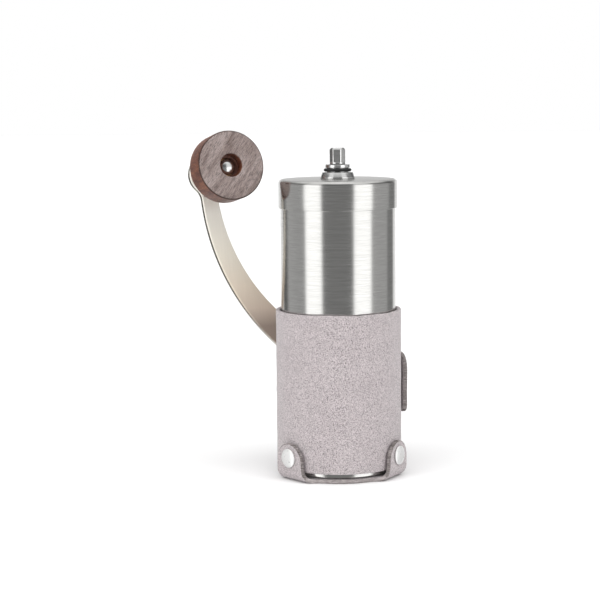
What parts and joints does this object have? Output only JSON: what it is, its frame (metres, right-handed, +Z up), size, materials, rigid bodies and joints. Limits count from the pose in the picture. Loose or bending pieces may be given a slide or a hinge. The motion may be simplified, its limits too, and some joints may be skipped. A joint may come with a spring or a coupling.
{
  "type": "hand coffee grinder",
  "caption": "Slim steel hand coffee grinder in a suede sleeve, with a lift-off lid, a conical burr set, a grounds cup and a curved crank stowed at the back.",
  "frame": {"origin": "centre of the underside of the leather base", "axes": "+Z up along the drive shaft, -Y towards the front, +X to the right of a person facing the front"},
  "size_m": [0.0918, 0.067, 0.1425],
  "materials": {
    "leather": "pinkish grey suede, darker cut edges",
    "body_steel": "brushed around the tube",
    "bright_steel": "polished",
    "arm_steel": "satin, fine grain",
    "plastic": "moulded, satin",
    "silicone": "matte",
    "rubber": "matte",
    "ceramic": "unglazed, fine",
    "bronze": "satin",
    "wood": "oiled, dark"
  },
  "bodies": {
    "holder": {"sleeve": "leather", "base_cradle": "leather", "keeper_strap": "leather", "base_left_rivet": "bright_steel", "base_left_rivet_post": "bright_steel", "base_right_rivet": "bright_steel", "base_right_rivet_post": "bright_steel", "base_back_rivet": "bright_steel", "base_back_rivet_post": "bright_steel", "keeper_left_rivet": "bright_steel", "keeper_left_rivet_post": "bright_steel", "keeper_right_rivet": "bright_steel", "keeper_right_rivet_post": "bright_steel"},
    "cup": {"receiver_cup": "body_steel"},
    "barrel_unit": {"barrel": "body_steel", "burr_carrier": "plastic", "cup_gasket": "silicone", "outer_burr": "ceramic", "burr_retainer": "bright_steel", "retainer_screw_1": "bright_steel", "retainer_screw_2": "bright_steel", "retainer_screw_3": "bright_steel", "bearing_bush": "bronze", "upper_bridge": "plastic", "upper_bush": "bronze"},
    "lid": {"lid_cap": "body_steel", "lid_collar": "bright_steel", "lid_o_ring": "rubber", "lid_liner": "plastic", "lid_nut": "bright_steel"},
    "drive": {"drive_shaft": "bright_steel", "thrust_washer": "bright_steel", "retaining_clip": "bright_steel"},
    "burr_stack": {"inner_burr": "ceramic", "detent_washer": "bright_steel", "burr_spring": "bright_steel"},
    "nut": {"adjusting_nut": "plastic"},
    "crank": {"crank_arm": "arm_steel", "hub_boss": "bright_steel", "knob_axle": "bright_steel", "knob_washer": "bright_steel"},
    "knob": {"knob": "wood", "knob_bush": "bronze"}
  },
  "joints": [
    {"name": "lift_out_of_sleeve", "type": "slide", "parent": "holder", "child": "cup", "axis": [0, 0, 1], "range_m": [0, 0.11]},
    {"name": "pull_off_cup", "type": "slide", "parent": "cup", "child": "barrel_unit", "axis": [0, 0, 1], "range_m": [0, 0.05]},
    {"name": "lid_lift", "type": "slide", "parent": "barrel_unit", "child": "lid", "axis": [0, 0, 1], "range_m": [0, 0.04]},
    {"name": "shaft_turn", "type": "hinge", "parent": "barrel_unit", "child": "drive", "pos_m": [0, 0, 0.07], "axis": [0, 0, 1], "continuous": true},
    {"name": "burr_gap", "type": "slide", "parent": "drive", "child": "burr_stack", "axis": [0, 0, 1], "range_m": [-0.0012, 0.0004], "deforming": ["burr_spring"]},
    {"name": "nut_turn", "type": "hinge", "parent": "burr_stack", "child": "nut", "pos_m": [0, 0, 0.047], "axis": [0, 0, 1], "range_deg": [-540, 180]},
    {"name": "crank_pull", "type": "slide", "parent": "holder", "child": "crank", "axis": [0, 0, 1], "range_m": [0, 0.07]},
    {"name": "knob_spin", "type": "hinge", "parent": "crank", "child": "knob", "pos_m": [-0.05394, 0.02389, 0.12354], "axis": [0.3986, -0.8974, 0.1891], "continuous": true}
  ],
  "couplings": [
    {"joint": "nut_turn", "follows": "burr_gap", "rad_per_m": 7854}
  ]
}
